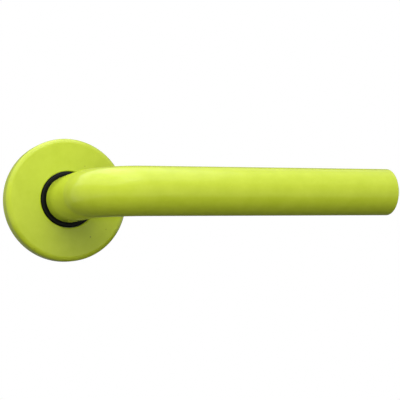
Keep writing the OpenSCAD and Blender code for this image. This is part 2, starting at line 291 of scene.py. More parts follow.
def copy_mesh(piece, name):
    """A second piece with its own mesh."""
    other = piece.copy()
    other.data = piece.data.copy()
    other.name = name
    other.data.name = name
    bpy.context.scene.collection.objects.link(other)
    return other


def turn_about_axis(piece, degrees):
    """Turns a piece about the rose's axis, anticlockwise as seen from the front."""
    place_piece(piece, (0, 0, 0), (0, -math.radians(degrees), 0))


def place_piece(piece, place, turn=(0, 0, 0)):
    """Turns and moves a piece, with its place in millimetres, and applies both."""
    clear_selection()
    piece.select_set(True)
    bpy.context.view_layer.objects.active = piece
    piece.rotation_euler = turn
    piece.location = Vector(place) * MM
    bpy.ops.object.transform_apply(location=True, rotation=True, scale=True)


def mesh_summary(piece):
    """Prints how large a piece's mesh is."""
    print(piece.name, len(piece.data.vertices), "vertices,", len(piece.data.polygons), "faces")


print("cutting and rounding tools ready")

# %% [markdown]
# ## The lever tube
#
# The real lever is one length of round steel tube, bent to a right angle on a mandrel
# and then powder coated. Here one ring starts at the bore of the neck, comes round the
# rim and up the neck, is spun through the bend, and runs along the bar. At the free
# end it turns inwards and goes back the same way along the bore, so that the wall has
# its real thickness all the way.

# %% Lever tube: the rim and the neck
TUBE_SIDES = 128
BEND_STEPS = 44
rim_round = 0.6
neck_rings = (10, 10.5, 11, 12, 13, 14, 15, 16, 17, 18, 19, 20, 21, 24, 29)
bend_start = bar_out - bend_r

lever_tube = start_ring("bent_tube", bore_r, neck_out, TUBE_SIDES)
neck_section = [(bore_r, neck_out)]
neck_section += arc((tube_r - rim_round, neck_out + rim_round), rim_round, -90, 0, 6)
neck_section += [(tube_r, out) for out in neck_rings]
neck_section += [(tube_r, bend_start)]
extrude_section(neck_section)
print("the neck is straight to", round(bend_start, 2))

# %% Lever tube: the bend, the bar and the bore
bend_centre = (bend_r * MM, -bend_start * MM, 0)
bar_rings = 16
bar_step = (lever_end - bend_r) / bar_rings * MM
end_centre = (lever_end * MM, -bar_out * MM, 0)
bore_scale = bore_r / tube_r

bpy.ops.mesh.spin(steps=BEND_STEPS, angle=math.pi / 2, center=bend_centre, axis=(0, 0, -1))
for ring in range(bar_rings):
    extrude_ring((bar_step, 0, 0), (1, 1, 1), end_centre)
extrude_ring((0, 0, 0), (1, bore_scale, bore_scale), end_centre)
extrude_ring((-bar_step * bar_rings, 0, 0), (1, 1, 1), end_centre)
bpy.ops.mesh.spin(steps=BEND_STEPS, angle=math.pi / 2, center=bend_centre, axis=(0, 0, 1))
extrude_ring((0, (bend_start - neck_out) * MM, 0), (1, 1, 1), end_centre)
close_shape(lever_tube)
mesh_summary(lever_tube)

# %% [markdown]
# A small hole on the underside of the neck lets a key reach the grub screw. The cutter
# is a plain cylinder, turned like the other pieces and then tipped to point down.

# %% Lever tube: the hole for the grub screw
grub_out = 16.0
grub_r = 3.0
grub_hole_r = grub_r + 0.3
grub_hole_ends = (6.5, 11.0)


def tip_down(piece, out):
    """Turns a piece drawn along the axis so that it points down from the axis, at out."""
    place_piece(piece, (0, -out, 0), (math.pi / 2, 0, 0))


hole_cutter = turned("hole_cutter", [(grub_hole_r, out) for out in grub_hole_ends], 48)
tip_down(hole_cutter, grub_out)
cut(lever_tube, hole_cutter)
shade(lever_tube)
mesh_summary(lever_tube)

# %% [markdown]
# ## The end cap
#
# A turned disc closes the free end. A thin spigot holds it inside the tube, and its
# rim is rounded like the rim of the neck. It is turned on the rose's axis first, then
# laid over to point along the bar.

# %% End cap
cap_back = -1.6
seam = 0.05
spigot_r = bore_r - 0.02
spigot_end = -6.6
spigot_bore_r = bore_r - 1.8
spigot_bore_ends = (-1.8, -7.0)

cap_section = [(spigot_r, spigot_end), (spigot_r, cap_back), (tube_r - seam, cap_back)]
cap_section += [(tube_r, cap_back + seam), (tube_r, -1.2), (tube_r, -rim_round - 0.1)]
cap_section += arc((tube_r - rim_round, -rim_round), rim_round, 0, 90, 8)
cap_section += [(tube_r - rim_round - 0.4, 0), (6.0, 0), (3.0, 0)]
cap_bore = [(spigot_bore_r, out) for out in spigot_bore_ends]

end_cap = turned("end_cap_disc", cap_section, TUBE_SIDES)
cut(end_cap, turned("cap_bore", cap_bore, 64))
place_piece(end_cap, (cap_end, -bar_out, 0), (0, 0, math.pi / 2))
shade(end_cap)
mesh_summary(end_cap)

# %% [markdown]
# ## The rose cover
#
# The cover is pressed from sheet: a very shallow dome, a rounded edge, a short wall
# that meets the door and a hole with a soft edge where the paint has drawn back. Its
# section is a closed line that follows the outside, turns in at the wall's foot and
# comes back along the inside, one sheet thickness away.

# %% Rose cover
COVER_SIDES = 192
sheet = 1.2
dome_r = 205.0
edge_r = 2.5
hole_r = 11.9
hole_out = 9.0
hole_round = 0.4
foot_round = 0.25
dome_centre = hole_out - math.sqrt(dome_r**2 - hole_r**2)
edge_circle = rose_r - edge_r
edge_middle = (edge_circle, dome_centre + math.sqrt((dome_r - edge_r) ** 2 - edge_circle**2))
dome_end = edge_circle * dome_r / (dome_r - edge_r)
dome_end_angle = math.degrees(math.acos((dome_end - edge_circle) / edge_r))


def dome_out(radius, inset=0.0):
    """How far out from the door the dome is at a radius, or its inside with an inset."""
    return dome_centre + math.sqrt((dome_r - inset) ** 2 - radius**2)


round_r = hole_r + hole_round
dome_rings = 16
dome_first = round_r + 0.35
dome_last = dome_end - 0.3
inside_middle = 18.0

cover_section = [(hole_r, dome_out(hole_r, sheet))]
cover_section += arc((round_r, dome_out(round_r) - hole_round), hole_round, 180, 93, 7)
for ring in range(dome_rings):
    radius = dome_first + (dome_last - dome_first) * ring / (dome_rings - 1)
    cover_section.append((radius, dome_out(radius)))
cover_section += arc(edge_middle, edge_r, dome_end_angle, 0, 16)
cover_section += [(rose_r, edge_middle[1] - 0.4), (rose_r, 2.5), (rose_r, foot_round + 0.3)]
cover_section += arc((rose_r - foot_round, foot_round), foot_round, 0, -90, 4)
cover_section += [(rose_r - sheet, 0), (rose_r - sheet, edge_middle[1])]
cover_section += arc(edge_middle, edge_r - sheet, 0, dome_end_angle, 8)[1:]
cover_section += [(inside_middle, dome_out(inside_middle, sheet)), cover_section[0]]

rose_cover = turned("pressed_cover", cover_section, COVER_SIDES)
mesh_summary(rose_cover)

# %% [markdown]
# ## The bearing bush and the rear bush
#
# Both bushes are moulded. The lip of the front one is the black ring round the neck.
# It is crowned, so that a thin line of light runs round its middle. The sleeve behind
# it carries the neck.

# %% Bushes
journal_r = 8.0
sleeve_r = 9.53
lip_r = 11.7
boss_out = 7.3
pocket_out = 5.5
lip_crown = 0.75
bush_break = 0.2

bush_section = [(journal_r, pocket_out + bush_break), (journal_r + bush_break, pocket_out)]
bush_section += [(sleeve_r, pocket_out)]
bush_section += [(sleeve_r, boss_out), (lip_r, boss_out), (lip_r, bush_top - lip_crown)]
bush_section += arc((lip_r - lip_crown, bush_top - lip_crown), lip_crown, 0, 90, 8)[1:]
bush_section += [(lip_r - lip_crown - 0.2, bush_top), (9.6, bush_top - 0.05)]
bush_section += [(9.2, bush_top - bush_break), (journal_r, bush_top - bush_break), bush_section[0]]
front_bush = turned("bush_front", bush_section, 128)

pilot_r = 6.58
rear_r = 7.278
rear_break = 0.1
rear_back = 0.25
flange_r = rear_r + 0.8
flange_back = 1.0
flange_front = 1.3

rear_section = [(pilot_r, rear_back), (rear_r - rear_break, rear_back)]
rear_section += [(rear_r, rear_back + rear_break), (rear_r, flange_back), (flange_r, flange_back)]
rear_section += [(flange_r, flange_front), (pilot_r, flange_front), rear_section[0]]
rear_bush = turned("bush_rear", rear_section, 96)
mesh_summary(front_bush)
mesh_summary(rear_bush)

# %% [markdown]
# ## The mounting plate
#
# The plate behind the cover is a zinc die casting. Its section has the boss that the
# bush sits in, a bevelled rim, the groove for the wire ring, and the pocket for the
# spring on its back. The body is turned first. Then the recess for the cassette plate
# is cut, with a pad left round each lug, and after it the bolt seats and screw holes.

# %% Mounting plate: the turned body
plate_r = 24.4
plate_bevel = 1.3
plate_break = 0.25
bevel_r = plate_r - plate_bevel
rim_out = out_from("through_bolts")[1]
rim_back = 1.0
groove_floor = plate_r - 0.96
groove_out = (rim_back + rim_out) / 2
groove_half = 0.7
boss_r = 13.8
boss_round = 0.4
pocket_r = 14.25
recess_r = 21.0
recess_out = 1.0
bush_bore = 9.55

plate_section = [(bush_bore, pocket_out), (bush_bore, boss_out - 0.2), (bush_bore + 0.2, boss_out)]
plate_section += arc((boss_r - boss_round, boss_out - boss_round), boss_round, 90, 0, 4)
plate_section += arc((boss_r + boss_round, rim_out + boss_round), boss_round, 180, 270, 4)
plate_section += [(bevel_r - 0.1, rim_out), (bevel_r + 0.15, rim_out - 0.1)]
plate_section += [(plate_r - 0.15, rim_out - plate_bevel), (plate_r, rim_out - plate_bevel - 0.2)]
plate_section += [(plate_r, groove_out + groove_half), (groove_floor, groove_out + groove_half)]
plate_section += [(groove_floor, groove_out - groove_half), (plate_r, groove_out - groove_half)]
plate_section += [(plate_r, plate_break), (plate_r - plate_break, 0), (pocket_r, 0)]
plate_section += [(pocket_r, pocket_out), plate_section[0]]
mounting_plate = turned("cast_plate", plate_section, 160)
mesh_summary(mounting_plate)

# %% Mounting plate: pads, seats and holes
bolt_up = 19.0
lug_r = 3.5
bolt_hole_r = 2.2
lug_front = 2.0
lug_seat_r = lug_r + 0.02
head_out = rim_out - 2.2
head_seat_r = 3.7
seat_break = 0.25
cut_behind = -1.0
cut_in_front = 9.0
seat_section = [(lug_seat_r, cut_behind), (lug_seat_r, lug_front), (bolt_hole_r, lug_front)]
seat_section += [(bolt_hole_r, head_out), (head_seat_r, head_out), (head_seat_r, rim_out - seat_break)]
seat_section += [(head_seat_r + seat_break, rim_out), (head_seat_r + seat_break, cut_in_front)]

# The pad's cutter is twice as long as the recess's, so that it goes right through it.
pad_r = 4.2
pad_section = [(pad_r, 2 * cut_behind), (pad_r, 2 * recess_out)]

screw_circle_r = 17.6
screw_angles = (30, 150, 210, 330)
screw_hole = [(1.27, 0.5), (1.27, 4.7)]


def at_screw(name, section, sides, angle):
    """Turns a cutter in the place of the cassette screw at an angle."""
    turn = math.radians(angle)
    up = screw_circle_r * math.sin(turn)
    across = screw_circle_r * math.cos(turn)
    return turned(name, section, sides, up=up, across=across)


# The recess is turned a little, so that its corners don't meet those of the plate.
recess = turned("recess", [(recess_r, cut_behind), (recess_r, recess_out)], 160)
turn_about_axis(recess, 0.7)
for side in (1, -1):
    cut(recess, turned("pad", pad_section, 64, up=side * bolt_up))
cut(mounting_plate, recess)
for side in (1, -1):
    cut(mounting_plate, turned("seat", seat_section, 64, up=side * bolt_up))
for angle in screw_angles:
    cut(mounting_plate, at_screw("screw_hole", screw_hole, 32, angle))
round_edges(mounting_plate, 0.12)
mesh_summary(mounting_plate)

# %% [markdown]
# ## The cassette plate and its screws
#
# A stamped steel disc closes the spring pocket. It has a hole for the rear bush, two
# bites for the lugs and four countersinks. One screw is modelled, with its countersunk
# head and its key socket, and copied to the other places.

# %% Cassette plate
disc_r = 20.8
disc_hole_r = 7.298
disc_back = 0.2
disc_front = 1.0
disc_break = 0.08
bite_section = [(4.55, 0.1), (4.4, 0.35), (4.4, 1.2)]
countersink = [(2.5, 0.0), (1.35, 1.1)]

disc_section = [(disc_hole_r, disc_back + disc_break), (disc_hole_r, disc_front), (disc_r, disc_front)]
disc_section += [(disc_r, disc_back + disc_break), (disc_r - disc_break, disc_back)]
disc_section += [(disc_hole_r + disc_break, disc_back), disc_section[0]]
cassette = turned("stamped_disc", disc_section, 160)
for side in (1, -1):
    cut(cassette, turned("bite", bite_section, 64, up=side * bolt_up))
for angle in screw_angles:
    cut(cassette, at_screw("countersink", countersink, 48, angle))
shade(cassette)
mesh_summary(cassette)

# %% Cassette screws
screw_section = [(2.05, 0.2), (2.18, 0.26), (2.15, 0.32), (1.25, 1.0), (1.25, 4.3), (0.95, 4.6)]
screw_key = [(0.875, -0.5), (0.875, 0.8)]
first_screw = turned("cassette_screw_1", screw_section, 48, across=screw_circle_r)
cut(first_screw, turned("key", screw_key, 6, across=screw_circle_r))
round_edges(first_screw, 0.05)
screws = [first_screw] + [copy_mesh(first_screw, f"cassette_screw_{i}") for i in (2, 3, 4)]
for screw, angle in zip(screws, screw_angles):
    turn_about_axis(screw, angle)
mesh_summary(first_screw)

# %% [markdown]
# ## Locating lugs and through bolts
#
# Two tubular lugs sit in the door and keep the plate from turning. The bolts pass
# through them. A bolt is a turned body with a key socket, and a thread: a small ridge
# that a Screw modifier winds round it, one pitch for each turn.

# %% Locating lugs
lug_back = -8.0
lug_lead = 0.5
lug_break = 0.2

lug_section = [(bolt_hole_r, lug_front), (lug_r - 0.1, lug_front), (lug_r, lug_front - 0.1)]
lug_section += [(lug_r, lug_back + lug_lead), (lug_r - lug_lead, lug_back)]
lug_section += [(bolt_hole_r + lug_break, lug_back), (bolt_hole_r, lug_back + lug_break)]
lug_section += [lug_section[0]]
upper_lug = turned("locating_lug_upper", lug_section, 64, up=bolt_up)
lower_lug = turned("locating_lug_lower", lug_section, 64, up=-bolt_up)
mesh_summary(upper_lug)

# %% Through bolts: the body and the socket
bolt_end = out_from("through_bolts")[0]
thread_start = -9.0
core_r = 1.7
shank_r = 1.75
tip = 0.5
head_r = 3.5
head_round = 0.3
bolt_key_r = 1.68
bolt_key_floor = rim_out - 1.32

bolt_section = [(core_r - tip, bolt_end), (core_r, bolt_end + tip), (core_r, thread_start)]
bolt_section += [(shank_r, thread_start + 0.1), (shank_r, head_out), (head_r - 0.1, head_out)]
bolt_section += [(head_r, head_out + 0.1)]
bolt_section += arc((head_r - head_round, rim_out - head_round), head_round, 0, 90, 4)
bolt_key = [(bolt_key_r, bolt_key_floor), (bolt_key_r, rim_out + 1)]
upper_bolt = turned("through_bolt_upper", bolt_section, 48, up=bolt_up)
cut(upper_bolt, turned("key", bolt_key, 6, up=bolt_up))
round_edges(upper_bolt, 0.06, angle=50)
mesh_summary(upper_bolt)

# %% Through bolts: the thread
PITCH = 0.7
THREAD_STEPS = 18
ridge_r = PITCH * 0.45
ridge_circle = core_r + 0.02
thread_turns = int((thread_start - bolt_end - 1.0) / PITCH)
clear_selection()
bpy.ops.mesh.primitive_circle_add(
    vertices=6,
    radius=ridge_r * MM,
    location=(ridge_circle * MM, -(bolt_end + PITCH) * MM, 0),
    rotation=(0, 0, math.pi / 6),
)
thread = bpy.context.object
thread.name = "thread"
bpy.ops.object.transform_apply(location=True, rotation=True, scale=True)
winding = thread.modifiers.new("winding", "SCREW")
winding.axis = "Y"
winding.angle = 2 * math.pi
winding.screw_offset = -PITCH * MM
winding.iterations = thread_turns
winding.steps = THREAD_STEPS
winding.render_steps = THREAD_STEPS
winding.use_merge_vertices = False
apply_modifier(thread, winding)
bpy.ops.object.mode_set(mode="EDIT")
bpy.ops.mesh.select_all(action="SELECT")
bpy.ops.mesh.fill_holes(sides=0)
close_shape(thread)
thread_low = min(v.co.y for v in thread.data.vertices) / MM
thread_high = max(v.co.y for v in thread.data.vertices) / MM
thread_out = max(math.hypot(v.co.x, v.co.z) for v in thread.data.vertices) / MM
print("thread from", round(thread_low, 2), "to", round(thread_high, 2))
print("thread radius", round(thread_out, 3))

# %% Through bolts: the thread goes on both
lower_thread = copy_mesh(thread, "thread_lower")
place_piece(thread, (0, 0, bolt_up))
place_piece(lower_thread, (0, 0, -bolt_up))
lower_bolt = copy_mesh(upper_bolt, "through_bolt_lower")
place_piece(lower_bolt, (0, 0, -2 * bolt_up))
for bolt, ridge in ((upper_bolt, thread), (lower_bolt, lower_thread)):
    clear_selection()
    ridge.select_set(True)
    bolt.select_set(True)
    bpy.context.view_layer.objects.active = bolt
    bpy.ops.object.join()
    shade(bolt)
    mesh_summary(bolt)

# %% [markdown]
# ## The spindle and the grub screw
#
# The spindle is bright drawn square bar with chamfered ends. A circle of four points
# is a square, so the same ring tools make it. The grub screw is turned, tipped to
# point down, and given its key socket.

# %% Spindle and grub screw
spindle_back, spindle_front = out_from("spindle")
half_width = 4.0
chamfer = 0.8
corner_r = half_width * math.sqrt(2)
chamfer_r = corner_r - chamfer * math.sqrt(2)
spindle_section = [(chamfer_r, spindle_back), (corner_r, spindle_back + chamfer)]
spindle_section += [(corner_r, spindle_front - chamfer), (chamfer_r, spindle_front)]
spindle = turned("square_spindle", spindle_section, 4)
turn_about_axis(spindle, 45)
round_edges(spindle, 0.3, segments=3, angle=20)
mesh_summary(spindle)

grub_body_r = grub_r - 0.02
grub_section = [(2.2, 4.06), (grub_body_r, 4.8), (grub_body_r, 8.8), (2.6, 9.2)]
grub_key = [(1.7, 7.2), (1.7, 10.0)]
grub_screw = turned("socket_grub_screw", grub_section, 48)
cut(grub_screw, turned("key", grub_key, 6))
tip_down(grub_screw, grub_out)
round_edges(grub_screw, 0.06, angle=40)
mesh_summary(grub_screw)

# %% [markdown]
# ## The wire ring
#
# A split ring of spring wire sits in the plate's groove and grips the cover. One small
# circle is spun about the axis and stops short of a full turn. The two ends are filled.

# %% Wire ring
wire_r = 0.6
wire_ring_r = radius_of("cover_snap_ring") - wire_r
split_angle = 14
wire_turn = math.radians(360 - split_angle)
clear_selection()
bpy.ops.mesh.primitive_circle_add(
    vertices=16,
    radius=wire_r * MM,
    location=(wire_ring_r * MM, -groove_out * MM, 0),
    rotation=(0, 0, 0),
)
wire_ring = bpy.context.object
wire_ring.name = "wire_ring"
bpy.ops.object.transform_apply(location=True, rotation=True, scale=True)
bpy.ops.object.mode_set(mode="EDIT")
bpy.ops.mesh.select_all(action="SELECT")
bpy.ops.mesh.spin(steps=150, angle=wire_turn, center=(0, 0, 0), axis=(0, 1, 0))
bpy.ops.mesh.select_all(action="SELECT")
bpy.ops.mesh.fill_holes(sides=0)
close_shape(wire_ring)
turn_about_axis(wire_ring, split_angle / 2)
mesh_summary(wire_ring)

# %% [markdown]
# ## Small parts inside
#
# The insert, the driver, the washers, the circlip, the stop pins and the spring keep
# the construction's own shapes, which are right. A loaded mesh is loose triangles, so
# a copy is merged, its flat faces are dissolved into one each, and its edges are
# broken where they are machined or stamped.

# %% Copies of the inner parts
FLAT_ANGLE = math.radians(0.6)


def finished_copy(node, name, edge=0.0):
    """A merged copy of a node, with its flat faces made whole and its edges rounded."""
    piece = copy_mesh(nodes[node], name)
    piece.parent = None
    piece.matrix_world = Matrix.Identity(4)
    for key in list(piece.keys()):
        del piece[key]
    clear_selection()
    piece.select_set(True)
    bpy.context.view_layer.objects.active = piece
    bpy.ops.object.mode_set(mode="EDIT")
    bpy.ops.mesh.select_mode(type="VERT")
    bpy.ops.mesh.select_all(action="SELECT")
    bpy.ops.mesh.remove_doubles(threshold=MERGE_DISTANCE)
    bpy.ops.mesh.customdata_custom_splitnormals_clear()
    bpy.ops.mesh.select_all(action="SELECT")
    bpy.ops.mesh.dissolve_limited(angle_limit=FLAT_ANGLE, use_dissolve_boundaries=False)
    bpy.ops.object.mode_set(mode="OBJECT")
    shade(piece)
    if edge:
        round_edges(piece, edge)
    return piece


neck_core = finished_copy("neck_insert", "neck_core", 0.12)
driver = finished_copy("spring_driver", "driver_disc", 0.08)
cup_washer = finished_copy("spring_washer", "cup_washer", 0.05)
flat_washer = finished_copy("thrust_washer", "flat_washer", 0.05)
retaining_ring = finished_copy("circlip", "retaining_ring", 0.06)
stop_pair = finished_copy("stop_pins", "dowel_pins", 0.15)
coil_spring = finished_copy("return_spring", "coil_spring")
for piece in (neck_core, driver, cup_washer, flat_washer, retaining_ring, stop_pair, coil_spring):
    mesh_summary(piece)

# %% [markdown]
# ## Finishes
#
# Each finish is a small net of nodes on Object coordinates, which are metres here, so
# a pattern's scale is one over its real size. The written colours are sRGB and one
# function turns them to the linear values that the shader works in. One function adds
# a node with its settings and its inputs.

# %% Colour and node helpers
def linear(hex_colour):
    """The linear RGBA of an sRGB colour such as #C2CF3A."""
    parts = [int(hex_colour[i : i + 2], 16) / 255 for i in (1, 3, 5)]
    curved = [p / 12.92 if p <= 0.04045 else ((p + 0.055) / 1.055) ** 2.4 for p in parts]
    return (*curved, 1.0)


def add_node(owner, kind, settings, inputs):
    """Adds one node to a material or the world. An input is a socket to link from, or a
    value to set."""
    tree = owner.node_tree
    node = tree.nodes.new(kind)
    for key, value in settings.items():
        setattr(node, key, value)
    for key, value in inputs.items():
        if isinstance(value, bpy.types.NodeSocket):
            tree.links.new(value, node.inputs[key])
        else:
            node.inputs[key].default_value = value
    return node


def per_size(millimetres):
    """The scale of a pattern whose features are this far apart."""
    return 1 / (millimetres * MM)


def start_material(name, roughness, metallic=0.0, ior=1.5, base="#808080"):
    """A material with its shader's constant values, and its Object coordinates."""
    material = bpy.data.materials.new(name)
    material.use_nodes = True
    shader = material.node_tree.nodes["Principled BSDF"]
    shader.inputs["Base Color"].default_value = linear(base)
    shader.inputs["Roughness"].default_value = roughness
    shader.inputs["Metallic"].default_value = metallic
    shader.inputs["IOR"].default_value = ior
    coordinates = add_node(material, "ShaderNodeTexCoord", {}, {}).outputs["Object"]
    return material, shader, coordinates


def plug(owner, source, shader, socket):
    """Links a socket to one of the shader's inputs."""
    owner.node_tree.links.new(source, shader.inputs[socket])


print("one colour written and linear:", "#C2CF3A", [round(v, 3) for v in linear("#C2CF3A")])

# %% [markdown]
# ## Yellow-green powder coat
#
# The paint is a polyester powder that melts on the hot steel and sets as a thick gloss
# film. It gives the eye four things: a colour that is even but not flat, a soft
# ripple called orange peel, a gloss that changes a little from place to place, and a
# few tiny dark nibs of dust under the film.

# %% Powder coat: the colour
CLOUD_SIZE = 6
NIB_SPACING = 7.0
NIB_SIZE = 0.16
# The Mix node has several inputs of one name, so its colours go by number.
MIX_A = 6
MIX_B = 7
MIX_RESULT = 2

powder_coat, paint, coat_place = start_material("gloss_powder_coat", roughness=0.16, ior=1.5)
paint.inputs["Specular IOR Level"].default_value = 0.3
cloud = add_node(
    powder_coat,
    "ShaderNodeTexNoise",
    {},
    {"Vector": coat_place, "Scale": per_size(CLOUD_SIZE), "Detail": 4, "Roughness": 0.6},
)
tint = add_node(powder_coat, "ShaderNodeValToRGB", {}, {"Fac": cloud.outputs["Fac"]})
tint.color_ramp.elements[0].position = 0.3
tint.color_ramp.elements[0].color = linear("#B8C92F")
tint.color_ramp.elements[1].position = 0.7
tint.color_ramp.elements[1].color = linear("#C0D038")
nibs = add_node(
    powder_coat, "ShaderNodeTexVoronoi", {}, {"Vector": coat_place, "Scale": per_size(NIB_SPACING)}
)
nib_edge = add_node(
    powder_coat,
    "ShaderNodeMapRange",
    {},
    {
        "Value": nibs.outputs["Distance"],
        "From Min": NIB_SIZE / NIB_SPACING,
        "From Max": 2 * NIB_SIZE / NIB_SPACING,
        "To Min": 0.75,
        "To Max": 0.0,
    },
)
coat_colour = add_node(
    powder_coat,
    "ShaderNodeMix",
    {"data_type": "RGBA"},
    {"Factor": nib_edge.outputs["Result"], MIX_A: tint.outputs["Color"], MIX_B: linear("#4A4F1E")},
)
plug(powder_coat, coat_colour.outputs[MIX_RESULT], paint, "Base Color")
print("powder coat: a nib every", NIB_SPACING, "mm")

# %% Powder coat: the gloss and the ripple
WEAR_SIZE = 14
RIPPLE_SPACING = 1.7
RIPPLE_DEPTH = 0.010
wear = add_node(
    powder_coat,
    "ShaderNodeTexNoise",
    {},
    {"Vector": coat_place, "Scale": per_size(WEAR_SIZE), "Detail": 3},
)
gloss = add_node(
    powder_coat,
    "ShaderNodeMapRange",
    {},
    {"Value": wear.outputs["Fac"], "To Min": 0.12, "To Max": 0.22},
)
plug(powder_coat, gloss.outputs["Result"], paint, "Roughness")
ripple = add_node(
    powder_coat,
    "ShaderNodeTexNoise",
    {},
    {"Vector": coat_place, "Scale": per_size(RIPPLE_SPACING), "Detail": 1},
)
peel = add_node(
    powder_coat,
    "ShaderNodeBump",
    {},
    {"Height": ripple.outputs["Fac"], "Strength": 1.0, "Distance": RIPPLE_DEPTH * MM},
)
plug(powder_coat, peel.outputs["Normal"], paint, "Normal")
print("powder coat: ripple every", RIPPLE_SPACING, "mm")

# %% [markdown]
# ## Black nylon
#
# The bush is injection moulded in black nylon. The mould's fine spark-eroded grain
# shows as a satin sheen, and handling has polished some of it.

# %% Black nylon
GRAIN_SPACING = 0.4
GRAIN_DEPTH = 0.012
POLISH_SIZE = 5

black_nylon, nylon, nylon_place = start_material(
    "moulded_black_nylon", roughness=0.4, ior=1.53, base="#0D0E0D"
)
nylon.inputs["Specular IOR Level"].default_value = 0.13
grain = add_node(
    black_nylon,
    "ShaderNodeTexNoise",
    {},
    {"Vector": nylon_place, "Scale": per_size(GRAIN_SPACING), "Detail": 3, "Roughness": 0.7},
)
nylon_tint = add_node(black_nylon, "ShaderNodeValToRGB", {}, {"Fac": grain.outputs["Fac"]})
nylon_tint.color_ramp.elements[0].color = linear("#060706")
nylon_tint.color_ramp.elements[1].color = linear("#0F100F")
plug(black_nylon, nylon_tint.outputs["Color"], nylon, "Base Color")
polish = add_node(
    black_nylon,
    "ShaderNodeTexNoise",
    {},
    {"Vector": nylon_place, "Scale": per_size(POLISH_SIZE), "Detail": 2},
)
sheen = add_node(
    black_nylon,
    "ShaderNodeMapRange",
    {},
    {"Value": polish.outputs["Fac"], "To Min": 0.32, "To Max": 0.5},
)
plug(black_nylon, sheen.outputs["Result"], nylon, "Roughness")
mould_grain = add_node(
    black_nylon,
    "ShaderNodeBump",
    {},
    {"Height": grain.outputs["Fac"], "Strength": 0.6, "Distance": GRAIN_DEPTH * MM},
)
plug(black_nylon, mould_grain.outputs["Normal"], nylon, "Normal")
print("nylon grain every", GRAIN_SPACING, "mm")

# %% [markdown]
# ## The metals
#
# Four metal finishes are inside and behind, and they differ in tone, in how rough they
# are and in the marks of their making. They share one recipe: a cloudy tint between two
# colours, a roughness between two values, and a bump from the tool's or the bath's
# own pattern. A dictionary says what each is, with its sizes in millimetres.
#
# - Turned steel has fine rings round its axis, left by the lathe.
# - Bright zinc plate is cool and clouded, from the bath and the passivation.
# - Phosphated spring steel is nearly black and dull, with an oily patchiness.
# - Die-cast zinc is grey, with flow marks from where the metal entered the mould.

# %% The metals' recipe
metal_recipes = {
    "turned_steel": dict(
        dark="#A3A5A8", light="#BDBFC1", low=0.22, high=0.36, cloud=5, mark=0.45, depth=0.006
    ),
    "bright_zinc_plate": dict(
        dark="#B5BAC0", light="#CACDCC", low=0.27, high=0.38, cloud=6, mark=0.5, depth=0.002
    ),
    "phosphated_spring_steel": dict(
        dark="#2E2F31", light="#4A4A4B", low=0.38, high=0.6, cloud=3, mark=0.3, depth=0.008
    ),
    "die_cast_zinc": dict(
        dark="#85878A", light="#A4A6A8", low=0.4, high=0.62, cloud=7, mark=1.2, depth=0.02
    ),
}
# At a scale of 1 the rings of a Wave texture are this far apart.
WAVE_SPACING = 2 * math.pi / 20
metals = {}
for name, recipe in metal_recipes.items():
    metal, shader, metal_place = start_material(
        name, roughness=recipe["low"], metallic=1.0, base=recipe["light"]
    )
    clouds = add_node(
        metal,
        "ShaderNodeTexNoise",
        {},
        {"Vector": metal_place, "Scale": per_size(recipe["cloud"]), "Detail": 5},
    )
    tone = add_node(metal, "ShaderNodeValToRGB", {}, {"Fac": clouds.outputs["Fac"]})
    tone.color_ramp.elements[0].position = 0.35
    tone.color_ramp.elements[0].color = linear(recipe["dark"])
    tone.color_ramp.elements[1].position = 0.65
    tone.color_ramp.elements[1].color = linear(recipe["light"])
    plug(metal, tone.outputs["Color"], shader, "Base Color")
    dullness = add_node(
        metal,
        "ShaderNodeMapRange",
        {},
        {
            "Value": clouds.outputs["Fac"],
            "From Min": 0.3,
            "From Max": 0.7,
            "To Min": recipe["high"],
            "To Max": recipe["low"],
        },
    )
    plug(metal, dullness.outputs["Result"], shader, "Roughness")
    if name == "turned_steel":
        marks = add_node(
            metal,
            "ShaderNodeTexWave",
            {"wave_type": "RINGS", "rings_direction": "Y"},
            {
                "Vector": metal_place,
                "Scale": WAVE_SPACING * per_size(recipe["mark"]),
                "Distortion": 0.4,
                "Detail": 2,
            },
        )
    else:
        marks = add_node(
            metal,
            "ShaderNodeTexNoise",
            {},
            {"Vector": metal_place, "Scale": per_size(recipe["mark"]), "Detail": 3},
        )
    relief = add_node(
        metal,
        "ShaderNodeBump",
        {},
        {"Height": marks.outputs["Fac"], "Distance": recipe["depth"] * MM},
    )
    plug(metal, relief.outputs["Normal"], shader, "Normal")
    metals[name] = metal
print("metals:", sorted(metals))

# %% [markdown]
# ## Every piece in its place
#
# Each finished piece rides on the body that carries it and takes its finish, and the
# construction node that it stands for is hidden. The lever and all that turns with it
# ride on one body, the cover on another, and the rest stays with the rose.

# %% Finish, ride and replace
def fit(piece, material, body, node):
    """Gives a piece its finish and the body it rides on, and hides the node it stands for."""
    piece.data.materials.clear()
    piece.data.materials.append(material)
    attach(piece, body)
    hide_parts(node)


turned_steel = metals["turned_steel"]
zinc_plate = metals["bright_zinc_plate"]
spring_steel = metals["phosphated_spring_steel"]
fit(lever_tube, powder_coat, "lever", "lever_tube")
fit(end_cap, powder_coat, "lever", "lever_end_cap")
fit(rose_cover, powder_coat, "cover", "rose_cover")
fit(front_bush, black_nylon, "rose", "bearing_bush")
fit(rear_bush, black_nylon, "rose", "rear_bush")
fit(mounting_plate, metals["die_cast_zinc"], "rose", "mounting_plate")
fit(cassette, zinc_plate, "rose", "cassette_plate")
fit(spindle, zinc_plate, "lever", "spindle")
fit(grub_screw, spring_steel, "lever", "grub_screw")
fit(wire_ring, spring_steel, "rose", "cover_snap_ring")
fit(neck_core, turned_steel, "lever", "neck_insert")
fit(driver, turned_steel, "lever", "spring_driver")
fit(cup_washer, spring_steel, "lever", "spring_washer")
fit(flat_washer, turned_steel, "lever", "thrust_washer")
fit(retaining_ring, spring_steel, "lever", "circlip")
fit(stop_pair, turned_steel, "rose", "stop_pins")
fit(coil_spring, spring_steel, "rose", "return_spring")
